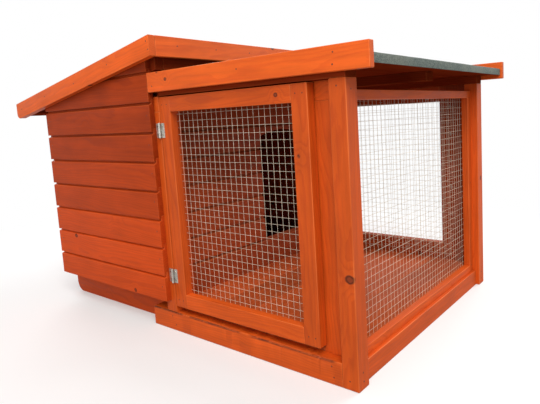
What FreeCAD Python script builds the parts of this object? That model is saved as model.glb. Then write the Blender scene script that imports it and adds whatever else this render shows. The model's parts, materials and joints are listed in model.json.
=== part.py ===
"""Rabbit hutch: a boarded sleeping house with a hinged lift-up roof, joined to a mesh-fronted run.

+X runs along the front from the house to the open mesh end, +Y from the front to the back, +Z up.
Inside this file x = 0 is the outer face of the run's end posts, y = 0 the front face of the posts
and z = 0 the ground. export() moves everything so that the origin is the bottom centre of the
whole hutch. All sizes are in millimetres.
"""
import FreeCAD, Part
import math
import os

# ---------------------------------------------------------------- driving dimensions
RUN_LENGTH = 434.0          # divider posts' run-side face to the end posts' outer face
HOUSE_LENGTH = 434.0        # end cladding's outer face to the divider posts' run-side face
FRAME_DEPTH = 575.0         # over the front and back posts
POST_HEIGHT = 476.0         # top of the run's corner posts
HIGH_WALL_RISE = 76.0       # top of the rail that carries the lid hinges, above the posts

TIMBER = 30.0               # square section of posts, runners and battens' width
RUNNER_HEIGHT = 40.0
BEARER_HEIGHT = 24.0        # packs the house floor up above the runners
RUNNER_NOSE = 20.0          # how far a runner sticks out past the house's end wall
NOSE_RADIUS = 24.0          # round-over under the runner's nose
FLOOR_THICKNESS = 10.0
FLOOR_GAP = 1.0             # between neighbouring floor or roof boards

BASE_RAIL_TAIL = 48.0       # how far the front base rail runs back under the house
END_BASE_HEIGHT = 35.0
END_BASE_RECESS = 8.0       # end base rail behind the end posts' outer face
END_FRAME_THICKNESS = 15.0
END_RAIL_HEIGHT = 16.0
END_STILE_WIDTH = 20.0
END_FRAME_DROP = 16.0       # end frame's top below the posts'

BOARD_THICKNESS = 12.0      # shiplap cladding
BOARD_COVER = 58.0          # visible height of one board
FIRST_COVER = 54.0          # visible height of the bottom board
CHANNEL_HEIGHT = 6.0        # recessed line between two boards
CHANNEL_SLOPE = 2.5         # lower lip of that line slopes by this much
TONGUE = 6.0                # thickness and height of a board's tongue
LAP_CLEARANCE = 0.3
END_LAP = 14.0              # divider posts' front face left bare for the hinge leaves

DOOR_THICKNESS = 18.0
DOOR_GAP = 1.5              # hinge side, door edge to hinge strip
LATCH_GAP = 40.0            # door edge to the front corner post
DOOR_FOOT_GAP = 14.0        # door above the base rail
DOOR_HEAD_GAP = 2.0         # door below the roof batten
DOOR_STILE = 32.0
DOOR_RAIL = 29.0
DOOR_STOP_GAP = 2.0         # door's back face to the strip and rail behind it
LATCH_STRIP_WIDTH = 46.0
LATCH_STRIP_THICKNESS = 15.0
TOP_RAIL_HEIGHT = 30.0
TOP_RAIL_DEPTH = 20.0

BACK_PANEL_THICKNESS = 18.0
BACK_STILE = 66.0
BACK_BOTTOM_RAIL = 50.0
BACK_TOP_RAIL = 36.0

MESH_PITCH = 13.0           # square welded mesh
MESH_WIRE = 1.0
DOOR_MESH_LAP = 12.0        # mesh over the members that it is stapled to
END_MESH_LAP = 9.0
BACK_MESH_LAP = 38.0

BATTEN_HEIGHT = 18.0
ROOF_BOARD = 10.0
FELT = 2.5
ROOF_OVERHANG = 43.0        # roof boards past the end posts
FASCIA_PROUD = 5.0          # fascia ends past the felt
FASCIA_HEIGHT = 37.0
FASCIA_THICKNESS = 12.0
FASCIA_RISE = 27.0          # fascia's top above the underside of the roof boards
FELT_SKIRT = 12.0           # felt turned down over the boards' end

LID_PITCH = 9.5             # degrees
LID_LOW_OVERHANG = 120.0    # past the house's end wall
LID_HIGH_OVERHANG = 24.0    # past the divider posts, over the run roof
BARGE_HEIGHT = 38.0         # square to the slope
BARGE_THICKNESS = 15.0
BARGE_BELOW_PANEL = 12.0    # barge board below the lid's boards, square to the slope
HIGH_FASCIA_REBATE = 8.0    # cut from its lower inner edge, so it clears the rail when lifted
BARGE_NOSE = 12.0           # round-over at the low end
LID_BATTEN = 20.0
EAVE_BATTEN = 6.0
SEAT_GAP = 0.3              # lid above the walls, and barge boards outside them
LID_LAYER_GAP = 0.05        # between the lid's boards and what is nailed above and below them
GABLE_RAIL = 30.0           # rail along the top of each sloping wall
GABLE_RAIL_DEPTH = 20.0

POP_WIDTH = 164.0           # arched doorway in the divider
POP_FROM_BACK = 183.0       # its centre, from the back of the frame
POP_SPRING_DROP = 98.0      # below the posts' top, where the sides turn into the arch
POP_ARCH = 14.0

HINGE_LENGTH = 28.0
LEAF_WIDTH = 12.6
LEAF_THICKNESS = 1.0
KNUCKLE_RADIUS = 2.5
HINGE_PIN = 1.1            # radius
PIN_CLEARANCE = 0.05
KNUCKLE_GAP = 0.2
AXIS_OFF_WOOD = 2.8         # hinge axis in front of the wood that the leaves lie on
DOOR_HINGE_INSET = 64.0     # hinge's middle from the door's end
LID_HINGE_LENGTH = 40.0
LID_HINGE_INSET = 110.0     # hinge's middle from the frame's front or back
SCREW_RADIUS = 1.2
SCREW_CLEARANCE = 0.06
SCREW_LENGTH = 9.0
SCREW_HEAD_RADIUS = 2.4
SCREW_HEAD_HEIGHT = 0.7

CATCH_SIZE = (20.0, 14.0, 36.0)
STRIKE_THICKNESS = 1.2

# ---------------------------------------------------------------- places worked out from them
HIGH_WALL_TOP = POST_HEIGHT + HIGH_WALL_RISE
DOOR_BOTTOM = RUNNER_HEIGHT + DOOR_FOOT_GAP
DOOR_TOP = POST_HEIGHT - DOOR_HEAD_GAP
DOOR_HINGE_Z = (DOOR_BOTTOM + DOOR_HINGE_INSET, DOOR_TOP - DOOR_HINGE_INSET)
LID_HINGE_Y = (LID_HINGE_INSET, FRAME_DEPTH - LID_HINGE_INSET)
END_FRAME_TOP = POST_HEIGHT - END_FRAME_DROP
POP_CENTRE = FRAME_DEPTH - POP_FROM_BACK
POP_SPRING = POST_HEIGHT - POP_SPRING_DROP
POP_CROWN = POP_SPRING + POP_ARCH
DIVIDER_X = -RUN_LENGTH                         # run-side face of the divider posts
DIVIDER_BACK_X = DIVIDER_X - TIMBER             # face that the divider boards lie on
HOUSE_X = DIVIDER_X - HOUSE_LENGTH              # end cladding's outer face
HOUSE_IN_X = HOUSE_X + BOARD_THICKNESS          # end cladding's inner face
HOUSE_FLOOR_Z = RUNNER_HEIGHT + BEARER_HEIGHT
CLAD_BOTTOM = HOUSE_FLOOR_Z
CLAD_END_X = DIVIDER_X - END_LAP
RUN_FLOOR_TOP = RUNNER_HEIGHT + FLOOR_THICKNESS
STOP_Y = DOOR_THICKNESS + DOOR_STOP_GAP
DIVIDER_POST_Y = STOP_Y
ROOF_Z = POST_HEIGHT + BATTEN_HEIGHT            # underside of the roof boards
FELT_TOP = ROOF_Z + ROOF_BOARD + FELT
TOP_RAIL_Z = POST_HEIGHT - TOP_RAIL_HEIGHT
ROOF_EDGE_X = ROOF_OVERHANG
FASCIA_END_X = ROOF_OVERHANG + FASCIA_PROUD
LID_HIGH_X = DIVIDER_X + LID_HIGH_OVERHANG
LID_LOW_X = HOUSE_X - LID_LOW_OVERHANG
LID_TAN = math.tan(math.radians(LID_PITCH))
LID_COS = math.cos(math.radians(LID_PITCH))
WALL_FACE = BOARD_THICKNESS                     # cladding stands this far out of the posts
BARGE_IN = WALL_FACE + SEAT_GAP
DOOR_LEFT = DIVIDER_X + DOOR_GAP
DOOR_RIGHT = -TIMBER - LATCH_GAP
DOOR_AXIS_X = DIVIDER_X + DOOR_GAP / 2
END_MESH_X = -TIMBER                            # end frame lies flush with the posts' inner faces
END_FRAME_X = END_MESH_X + END_FRAME_THICKNESS
BACK_PANEL_Y = FRAME_DEPTH - BACK_PANEL_THICKNESS
MESH_THICKNESS = 2 * MESH_WIRE


# ---------------------------------------------------------------- solids
def box(x0, x1, y0, y1, z0, z1):
    return Part.makeBox(x1 - x0, y1 - y0, z1 - z0, FreeCAD.Vector(x0, y0, z0))


def prism(points, along):
    """A prism of the polygon `points`, swept by the vector `along`."""
    corners = [FreeCAD.Vector(*p) for p in points]
    face = Part.Face(Part.makePolygon(corners + corners[:1]))
    return face.extrude(FreeCAD.Vector(*along))


def prism_x(points, x0, x1):
    return prism([(x0, y, z) for y, z in points], (x1 - x0, 0, 0))


def prism_y(points, y0, y1):
    return prism([(x, y0, z) for x, z in points], (0, y1 - y0, 0))


def mirrored(shape):
    """The same piece at the back of the hutch."""
    middle = FreeCAD.Vector(0, FRAME_DEPTH / 2, 0)
    return shape.mirror(middle, FreeCAD.Vector(0, 1, 0))


def solids_of(shapes):
    return [solid for shape in shapes for solid in shape.Solids]


def rounded_edge(shape, x, z, radius):
    """Rounds the one edge that runs along Y at (x, z)."""
    found = [
        edge
        for edge in shape.Edges
        if all(abs(v.X - x) < 0.01 and abs(v.Z - z) < 0.01 for v in edge.Vertexes)
    ]
    return shape.makeFillet(radius, found)


def board_spans(start, end, count):
    """The spans of `count` equal boards side by side between start and end."""
    width = (end - start - FLOOR_GAP * (count - 1)) / count
    return [
        (start + i * (width + FLOOR_GAP), start + i * (width + FLOOR_GAP) + width)
        for i in range(count)
    ]


# ---------------------------------------------------------------- the lid's sloping planes
def lid_z(x, n):
    """Height at x of the plane n above the barge boards' lower edge, square to the slope."""
    seat = HIGH_WALL_TOP + SEAT_GAP + LID_TAN * (x - DIVIDER_BACK_X)
    return seat + (n - BARGE_BELOW_PANEL) / LID_COS


def sloped(x0, x1, n0, n1, y0, y1):
    """A piece with plumb ends between two planes parallel to the lid."""
    outline = [(x0, lid_z(x0, n0)), (x1, lid_z(x1, n0)), (x1, lid_z(x1, n1)), (x0, lid_z(x0, n1))]
    return prism_y(outline, y0, y1)


def under_lid(shape, drop=0.0):
    """Cuts a wall piece off just under the lid's boards, or `drop` lower."""
    box_ = shape.BoundBox
    x0, x1, reach = box_.XMin - 1, box_.XMax + 1, 10.0
    n = BARGE_BELOW_PANEL - SEAT_GAP * LID_COS - drop
    outline = [(x0, -reach), (x1, -reach), (x1, lid_z(x1, n)), (x0, lid_z(x0, n))]
    return shape.common(prism_y(outline, box_.YMin - reach, box_.YMax + reach))


# ---------------------------------------------------------------- shiplap boards
def board_outline(low, high, first):
    """One board's section: (distance out from its back, height)."""
    lip = TONGUE + LAP_CLEARANCE
    if first:
        foot = [(BOARD_THICKNESS, low), (0.0, low)]
    else:
        foot = [(BOARD_THICKNESS, low), (lip, low), (lip, low + lip), (0.0, low + lip)]
    return foot + [
        (0.0, high + TONGUE),
        (TONGUE, high + TONGUE),
        (TONGUE, high - CHANNEL_HEIGHT + CHANNEL_SLOPE),
        (BOARD_THICKNESS, high - CHANNEL_HEIGHT),
    ]


def board_sections(bottom, top):
    """Sections of all the boards from bottom until they pass top."""
    sections = []
    low, high = bottom, CLAD_BOTTOM + FIRST_COVER
    while low < top:
        sections.append(board_outline(low, high, low == bottom))
        low, high = high, high + BOARD_COVER
    return sections


# ---------------------------------------------------------------- hinges
def screw():
    """A round-headed screw: head on the plane z = 0, shank down -Z."""
    head = Part.makeCylinder(SCREW_HEAD_RADIUS, SCREW_HEAD_HEIGHT)
    head = head.makeFillet(SCREW_HEAD_HEIGHT * 0.7, [head.Edges[0]])
    down = FreeCAD.Vector(0, 0, -1)
    shank = Part.makeCylinder(SCREW_RADIUS, SCREW_LENGTH, FreeCAD.Vector(0, 0, 0), down)
    return head.fuse(shank).removeSplitter()


def screw_hole():
    down = FreeCAD.Vector(0, 0, -1)
    top = FreeCAD.Vector(0, 0, LEAF_THICKNESS)
    radius = SCREW_RADIUS + SCREW_CLEARANCE
    return Part.makeCylinder(radius, SCREW_LENGTH + 2 * LEAF_THICKNESS, top, down)


def leaf(side, length, spans):
    """A hinge leaf: its pin lies on the z axis and its back on the plane y = AXIS_OFF_WOOD.

    side is 1 for a leaf towards +x, -1 for one towards -x; spans are its knuckles along z.
    """
    y0, y1 = AXIS_OFF_WOOD - LEAF_THICKNESS, AXIS_OFF_WOOD
    start = AXIS_OFF_WOOD
    flat = sorted((side * start, side * LEAF_WIDTH))
    shape = box(flat[0], flat[1], y0, y1, 0, length)
    for low, high in spans:
        tab = sorted((0.0, side * start))
        shape = shape.fuse(box(tab[0], tab[1], y0, y1, low, high))
        base = FreeCAD.Vector(0, 0, low)
        shape = shape.fuse(Part.makeCylinder(KNUCKLE_RADIUS, high - low, base))
    bore = Part.makeCylinder(HINGE_PIN + PIN_CLEARANCE, length)
    shape = shape.cut(bore)
    for place in screw_places(side, length):
        shape = shape.cut(place_screw(screw_hole(), place))
    return shape.removeSplitter()


def screw_places(side, length):
    """Where a leaf's two screws stand, as points on its front face."""
    x = side * (AXIS_OFF_WOOD + LEAF_WIDTH) / 2
    y = AXIS_OFF_WOOD - LEAF_THICKNESS
    return [FreeCAD.Vector(x, y, length * share) for share in (0.22, 0.78)]


def place_screw(shape, place):
    """Turns a screw made along -Z so that its shank points to +y, and moves it to place."""
    turned = shape.copy()
    turned.rotate(FreeCAD.Vector(0, 0, 0), FreeCAD.Vector(1, 0, 0), 90)
    turned.translate(place)
    return turned


def knuckle_spans(length):
    """Heights of the fixed leaf's two outer knuckles and of the moving leaf's middle one."""
    third = length / 3
    fixed = [(0.0, third - KNUCKLE_GAP / 2), (2 * third + KNUCKLE_GAP / 2, length)]
    moving = [(third + KNUCKLE_GAP / 2, 2 * third - KNUCKLE_GAP / 2)]
    return fixed, moving


def hinge_pin(length):
    head = 0.8
    pin = Part.makeCylinder(HINGE_PIN, length + 2 * PIN_CLEARANCE, FreeCAD.Vector(0, 0, -PIN_CLEARANCE))
    for z in (-head - PIN_CLEARANCE, length + PIN_CLEARANCE):
        pin = pin.fuse(Part.makeCylinder(KNUCKLE_RADIUS * 0.7, head, FreeCAD.Vector(0, 0, z)))
    return pin.removeSplitter()


def hinge(length, fixed_at, moving_at, fixed_side=-1):
    """All pieces of one butt hinge; fixed_at and moving_at put its two sides in the hutch."""
    fixed, moving = knuckle_spans(length)
    moving_side = -fixed_side
    fixed_places = screw_places(fixed_side, length)
    moving_places = screw_places(moving_side, length)
    return {
        "fixed_leaf": fixed_at(leaf(fixed_side, length, fixed)),
        "moving_leaf": moving_at(leaf(moving_side, length, moving)),
        "pin": fixed_at(hinge_pin(length)),
        "fixed_screws": [fixed_at(place_screw(screw(), p)) for p in fixed_places],
        "moving_screws": [moving_at(place_screw(screw(), p)) for p in moving_places],
        "fixed_holes": [fixed_at(place_screw(screw_hole(), p)) for p in fixed_places],
        "moving_holes": [moving_at(place_screw(screw_hole(), p)) for p in moving_places],
    }


def door_hinges():
    hinges = []
    for centre in DOOR_HINGE_Z:
        def on_front(shape, z=centre - HINGE_LENGTH / 2):
            return shape.translated(FreeCAD.Vector(DOOR_AXIS_X, -AXIS_OFF_WOOD, z))

        hinges.append(hinge(HINGE_LENGTH, on_front, on_front))
    return hinges


# The pin lies as far above the rail as it lies below the lid's boards.
LID_AXIS_Z = HIGH_WALL_TOP + AXIS_OFF_WOOD
LID_AXIS_X = DIVIDER_BACK_X + (AXIS_OFF_WOOD * (1 + 1 / LID_COS) - SEAT_GAP) / LID_TAN


def lid_hinges():
    """Both leaves point back over the rail: the fixed one lies on it, the other under the lid."""
    hinges = []
    for centre in LID_HINGE_Y:
        def laid(shape, turn, y=centre + LID_HINGE_LENGTH / 2):
            # the pin, along z in the leaf's own frame, is laid along -Y
            placed = shape.copy()
            origin = FreeCAD.Vector(0, 0, 0)
            placed.rotate(origin, FreeCAD.Vector(1, 0, 0), 90)
            placed.rotate(origin, FreeCAD.Vector(0, 1, 0), -turn)
            placed.translate(FreeCAD.Vector(LID_AXIS_X, y, LID_AXIS_Z))
            return placed

        def on_rail(shape, laid=laid):
            return laid(shape, 180.0)

        def under_boards(shape, laid=laid):
            return laid(shape, LID_PITCH)

        hinges.append(hinge(LID_HINGE_LENGTH, on_rail, under_boards, fixed_side=1))
    return hinges


# ---------------------------------------------------------------- base and floors
def base():
    x0, x1 = HOUSE_X - RUNNER_NOSE, -TIMBER
    runner = box(x0, x1, TIMBER, 2 * TIMBER, 0, RUNNER_HEIGHT)
    runner = rounded_edge(runner, x0, 0.0, NOSE_RADIUS)
    bearer_end = DIVIDER_BACK_X - BOARD_THICKNESS - FLOOR_GAP
    bearer = box(HOUSE_IN_X, bearer_end, TIMBER, 2 * TIMBER, RUNNER_HEIGHT, HOUSE_FLOOR_Z)
    rail = box(DIVIDER_BACK_X - BASE_RAIL_TAIL, -TIMBER, 0, TIMBER, 0, RUNNER_HEIGHT)
    end_rail = box(-TIMBER, -END_BASE_RECESS, TIMBER, FRAME_DEPTH - TIMBER, 0, END_BASE_HEIGHT)
    return {
        "runners": [runner, mirrored(runner)],
        "floor_bearers": [bearer, mirrored(bearer)],
        "front_base_rail": [rail],
        "back_base_rail": [mirrored(rail)],
        "end_base_rail": [end_rail],
    }


def floors(obstacles):
    house = []
    house_end = DIVIDER_BACK_X - BOARD_THICKNESS - FLOOR_GAP
    for x0, x1 in board_spans(HOUSE_IN_X + LAP_CLEARANCE, house_end, 4):
        house.append(box(x0, x1, 0, FRAME_DEPTH, HOUSE_FLOOR_Z, HOUSE_FLOOR_Z + FLOOR_THICKNESS))
    run = []
    run_start = DIVIDER_BACK_X + LAP_CLEARANCE
    run_end = END_MESH_X - MESH_THICKNESS - LAP_CLEARANCE
    for x0, x1 in board_spans(run_start, run_end, 5):
        board = box(x0, x1, STOP_Y, FRAME_DEPTH - STOP_Y, RUNNER_HEIGHT, RUN_FLOOR_TOP)
        for obstacle in obstacles:
            b = obstacle.BoundBox
            room = LAP_CLEARANCE
            notch = box(b.XMin - room, b.XMax + room, b.YMin - room, b.YMax + room, 0, POST_HEIGHT)
            board = board.cut(notch)
        run.append(board)
    return {"house_floor": house, "run_floor": solids_of(run)}


# ---------------------------------------------------------------- the run's frame
def run_frame():
    corner = box(-TIMBER, 0, 0, TIMBER, 0, POST_HEIGHT)
    strip = box(DIVIDER_BACK_X, DIVIDER_X, 0, DIVIDER_POST_Y, RUNNER_HEIGHT, TOP_RAIL_Z)
    divider_post = box(
        DIVIDER_BACK_X, DIVIDER_X, DIVIDER_POST_Y, DIVIDER_POST_Y + TIMBER,
        RUNNER_HEIGHT, HIGH_WALL_TOP - TIMBER,
    )
    latch_strip = box(
        -TIMBER - LATCH_STRIP_WIDTH, -TIMBER, STOP_Y, STOP_Y + LATCH_STRIP_THICKNESS,
        RUNNER_HEIGHT, TOP_RAIL_Z,
    )
    top_rail = box(DIVIDER_X, -TIMBER, STOP_Y, STOP_Y + TOP_RAIL_DEPTH, TOP_RAIL_Z, POST_HEIGHT)
    ledger_y = DIVIDER_POST_Y + TIMBER
    ledger = box(
        DIVIDER_BACK_X, DIVIDER_BACK_X + BATTEN_HEIGHT, ledger_y, FRAME_DEPTH - ledger_y,
        POST_HEIGHT - BATTEN_HEIGHT, POST_HEIGHT,
    )
    high_rail = box(
        DIVIDER_BACK_X, DIVIDER_X, GABLE_RAIL_DEPTH, FRAME_DEPTH - GABLE_RAIL_DEPTH,
        HIGH_WALL_TOP - TIMBER, HIGH_WALL_TOP,
    )
    return {
        "front_corner_post": [corner],
        "back_corner_post": [mirrored(corner)],
        "hinge_strip": [strip],
        "back_strip": [mirrored(strip)],
        "divider_posts": [divider_post, mirrored(divider_post)],
        "latch_strip": [latch_strip],
        "front_top_rail": [top_rail],
        "roof_ledger": [ledger],
        "high_wall_rail": [high_rail],
    }


def wire_mesh(u0, u1, v0, v1, place):
    """A flat welded mesh: one layer of wires along v on one layer of wires along u.

    place(u0, u1, v0, v1, w0, w1) puts a wire in the hutch; w is the distance through the mesh.
    """
    half = MESH_WIRE / 2
    across = int((u1 - u0) / MESH_PITCH)
    up = int((v1 - v0) / MESH_PITCH)
    u_start = (u0 + u1 - across * MESH_PITCH) / 2
    v_start = (v0 + v1 - up * MESH_PITCH) / 2
    wires = []
    for i in range(across + 1):
        u = u_start + i * MESH_PITCH
        wires.append(place(u - half, u + half, v0, v1, 0, MESH_WIRE))
    for j in range(up + 1):
        v = v_start + j * MESH_PITCH
        wires.append(place(u0, u1, v - half, v + half, MESH_WIRE, MESH_THICKNESS))
    return wires


def end_panel():
    y0, y1 = TIMBER, FRAME_DEPTH - TIMBER
    x0, x1 = END_MESH_X, END_FRAME_X
    stile = box(x0, x1, y0, y0 + END_STILE_WIDTH, END_BASE_HEIGHT, END_FRAME_TOP)
    inner0, inner1 = y0 + END_STILE_WIDTH, y1 - END_STILE_WIDTH
    bottom_top = END_BASE_HEIGHT + END_RAIL_HEIGHT
    top_bottom = END_FRAME_TOP - END_RAIL_HEIGHT
    bottom = box(x0, x1, inner0, inner1, END_BASE_HEIGHT, bottom_top)
    top = box(x0, x1, inner0, inner1, top_bottom, END_FRAME_TOP)

    def place(u0, u1, v0, v1, w0, w1):
        return box(END_MESH_X - w1, END_MESH_X - w0, u0, u1, v0, v1)

    lap = END_MESH_LAP
    mesh = wire_mesh(inner0 - lap, inner1 + lap, bottom_top - lap, top_bottom + lap, place)
    return {
        "end_stiles": [stile, mirrored(stile)],
        "end_bottom_rail": [bottom],
        "end_top_rail": [top],
        "end_mesh": mesh,
    }


def back_panel():
    x0, x1 = DIVIDER_X, -TIMBER
    y0, y1 = BACK_PANEL_Y, FRAME_DEPTH
    left = box(x0, x0 + BACK_STILE / 2, y0, y1, RUNNER_HEIGHT, POST_HEIGHT)
    right = box(x1 - BACK_STILE, x1, y0, y1, RUNNER_HEIGHT, POST_HEIGHT)
    inner0, inner1 = x0 + BACK_STILE / 2, x1 - BACK_STILE
    bottom_top = RUNNER_HEIGHT + BACK_BOTTOM_RAIL
    top_bottom = POST_HEIGHT - BACK_TOP_RAIL
    bottom = box(inner0, inner1, y0, y1, RUNNER_HEIGHT, bottom_top)
    top = box(inner0, inner1, y0, y1, top_bottom, POST_HEIGHT)

    def place(u0, u1, v0, v1, w0, w1):
        return box(u0, u1, BACK_PANEL_Y - w1, BACK_PANEL_Y - w0, v0, v1)

    lap = BACK_MESH_LAP
    mesh = wire_mesh(
        inner0 - BACK_STILE / 4, inner1 + lap, bottom_top - lap + TONGUE, top_bottom + BACK_TOP_RAIL / 2, place
    )
    return {
        "back_left_stile": [left],
        "back_right_stile": [right],
        "back_bottom_rail": [bottom],
        "back_top_rail": [top],
        "back_mesh": mesh,
    }


# ---------------------------------------------------------------- the run's roof
def run_roof():
    start = DIVIDER_X + LAP_CLEARANCE
    front = box(start, 0, 0, TIMBER, POST_HEIGHT, ROOF_Z)
    middle_y = (FRAME_DEPTH - TIMBER) / 2
    middle = box(DIVIDER_BACK_X, 0, middle_y, middle_y + TIMBER, POST_HEIGHT, ROOF_Z)
    boards = [
        box(x0, x1, 0, FRAME_DEPTH, ROOF_Z, ROOF_Z + ROOF_BOARD)
        for x0, x1 in board_spans(start, ROOF_EDGE_X - FELT, 5)
    ]
    felt_z = ROOF_Z + ROOF_BOARD
    felt = box(start, ROOF_EDGE_X, 0, FRAME_DEPTH, felt_z, FELT_TOP)
    skirt = box(ROOF_EDGE_X - FELT, ROOF_EDGE_X, 0, FRAME_DEPTH, FELT_TOP - FELT_SKIRT - FELT, felt_z)
    fascia_top = ROOF_Z + FASCIA_RISE
    fascia_x = CLAD_END_X + LAP_CLEARANCE
    fascia = box(fascia_x, FASCIA_END_X, -FASCIA_THICKNESS, 0, fascia_top - FASCIA_HEIGHT, fascia_top)
    return {
        "run_roof_battens": [front, middle, mirrored(front)],
        "run_roof_boards": boards,
        "run_roof_felt": [felt.fuse(skirt).removeSplitter()],
        "run_front_fascia": [fascia],
        "run_back_fascia": [mirrored(fascia)],
    }


# ---------------------------------------------------------------- the sleeping house
def pop_hole():
    """The arched doorway, as the solid that is cut out of the divider boards."""
    x0 = DIVIDER_BACK_X - BOARD_THICKNESS - TONGUE
    sill = CLAD_BOTTOM + FIRST_COVER
    y0, y1 = POP_CENTRE - POP_WIDTH / 2, POP_CENTRE + POP_WIDTH / 2
    corners = [FreeCAD.Vector(x0, y, z) for y, z in ((y0, POP_SPRING), (y0, sill), (y1, sill), (y1, POP_SPRING))]
    edges = [Part.makeLine(a, b) for a, b in zip(corners, corners[1:])]
    crown = FreeCAD.Vector(x0, POP_CENTRE, POP_CROWN)
    edges.append(Part.Arc(corners[3], crown, corners[0]).toShape())
    face = Part.Face(Part.Wire(edges))
    return face.extrude(FreeCAD.Vector(BOARD_THICKNESS + 2 * TONGUE, 0, 0))


def house():
    gable_drop = GABLE_RAIL * LID_COS
    post = box(HOUSE_IN_X, HOUSE_IN_X + TIMBER, 0, TIMBER, HOUSE_FLOOR_Z + FLOOR_THICKNESS, HIGH_WALL_TOP)
    post = under_lid(post, gable_drop)
    gable = box(HOUSE_IN_X, DIVIDER_X, 0, GABLE_RAIL_DEPTH, 0, HIGH_WALL_TOP + TIMBER)
    gable = under_lid(gable).cut(under_lid(gable, gable_drop))
    low_rail_x = HOUSE_IN_X + GABLE_RAIL_DEPTH
    low_rail = box(
        HOUSE_IN_X, low_rail_x, TIMBER, FRAME_DEPTH - TIMBER, 0, HIGH_WALL_TOP + TIMBER
    )
    low_rail = under_lid(low_rail).cut(under_lid(low_rail, gable_drop))
    sill_z = HOUSE_FLOOR_Z + FLOOR_THICKNESS
    sill_end = DIVIDER_BACK_X - BOARD_THICKNESS - FLOOR_GAP
    sill = box(HOUSE_IN_X + TIMBER, sill_end, 0, GABLE_RAIL_DEPTH, sill_z, sill_z + TIMBER)

    front, end, divider = [], [], []
    for section in board_sections(CLAD_BOTTOM, lid_z(CLAD_END_X, BARGE_BELOW_PANEL)):
        front.append(under_lid(prism_x([(-d, z) for d, z in section], HOUSE_X, CLAD_END_X)))
    for section in board_sections(CLAD_BOTTOM, lid_z(HOUSE_X, BARGE_BELOW_PANEL)):
        end.append(under_lid(prism_y([(HOUSE_IN_X - d, z) for d, z in section], 0, FRAME_DEPTH)))
    hole = pop_hole()
    divider_x = DIVIDER_BACK_X - BOARD_THICKNESS
    for section in board_sections(RUNNER_HEIGHT, lid_z(divider_x, BARGE_BELOW_PANEL)):
        board = prism_y([(divider_x + d, z) for d, z in section], GABLE_RAIL_DEPTH, FRAME_DEPTH - GABLE_RAIL_DEPTH)
        divider.append(under_lid(board).cut(hole))
    return {
        "house_posts": [post, mirrored(post)],
        "gable_rails": [gable, mirrored(gable)],
        "low_wall_rail": [low_rail],
        "house_sills": [sill, mirrored(sill)],
        "front_cladding": solids_of(front),
        "back_cladding": [mirrored(board) for board in solids_of(front)],
        "end_cladding": solids_of(end),
        "divider_boards": solids_of(divider),
    }


# ---------------------------------------------------------------- the lid
def lid():
    n0 = BARGE_BELOW_PANEL
    fascia_in = LID_HIGH_X - BARGE_THICKNESS
    low_edge = LID_LOW_X + BARGE_NOSE / 2
    y0, y1 = -BARGE_IN, FRAME_DEPTH + BARGE_IN
    boards = [
        sloped(x0, x1, n0, n0 + ROOF_BOARD, y0, y1)
        for x0, x1 in board_spans(low_edge + FELT + LID_LAYER_GAP, fascia_in, 6)
    ]
    felt_n = n0 + ROOF_BOARD + LID_LAYER_GAP
    felt = sloped(low_edge, fascia_in, felt_n, felt_n + FELT, y0, y1)
    turn_down = sloped(low_edge, low_edge + FELT, n0 - FELT, felt_n, y0, y1)
    barge = sloped(LID_LOW_X, LID_HIGH_X, 0, BARGE_HEIGHT, -BARGE_IN - BARGE_THICKNESS, -BARGE_IN)
    barge = rounded_edge(barge, LID_LOW_X, lid_z(LID_LOW_X, 0), BARGE_NOSE)
    fascia = sloped(fascia_in, LID_HIGH_X, 0, BARGE_HEIGHT, y0, y1)
    fascia = fascia.cut(sloped(fascia_in, fascia_in + HIGH_FASCIA_REBATE, 0, n0, y0, y1))
    inside0 = TIMBER + TONGUE
    inside1 = FRAME_DEPTH - inside0
    low_batten_x = HOUSE_IN_X + TIMBER + 2 * TONGUE
    high_batten_x = DIVIDER_BACK_X - BOARD_THICKNESS - TIMBER - 2 * TONGUE
    battens = [
        sloped(x, x + TIMBER, n0 - LID_BATTEN, n0 - LID_LAYER_GAP, inside0, inside1)
        for x in (low_batten_x, (low_batten_x + high_batten_x) / 2, high_batten_x)
    ]
    eave_x = low_edge + FELT + LID_LAYER_GAP
    eave = sloped(eave_x, eave_x + TIMBER, n0 - EAVE_BATTEN, n0 - LID_LAYER_GAP, y0, y1)
    return {
        "lid_boards": boards,
        "lid_felt": [felt.fuse(turn_down).removeSplitter()],
        "lid_front_barge_board": [barge],
        "lid_back_barge_board": [mirrored(barge)],
        "lid_high_fascia": [fascia],
        "lid_battens": battens,
        "lid_eave_batten": [eave],
    }


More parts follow.
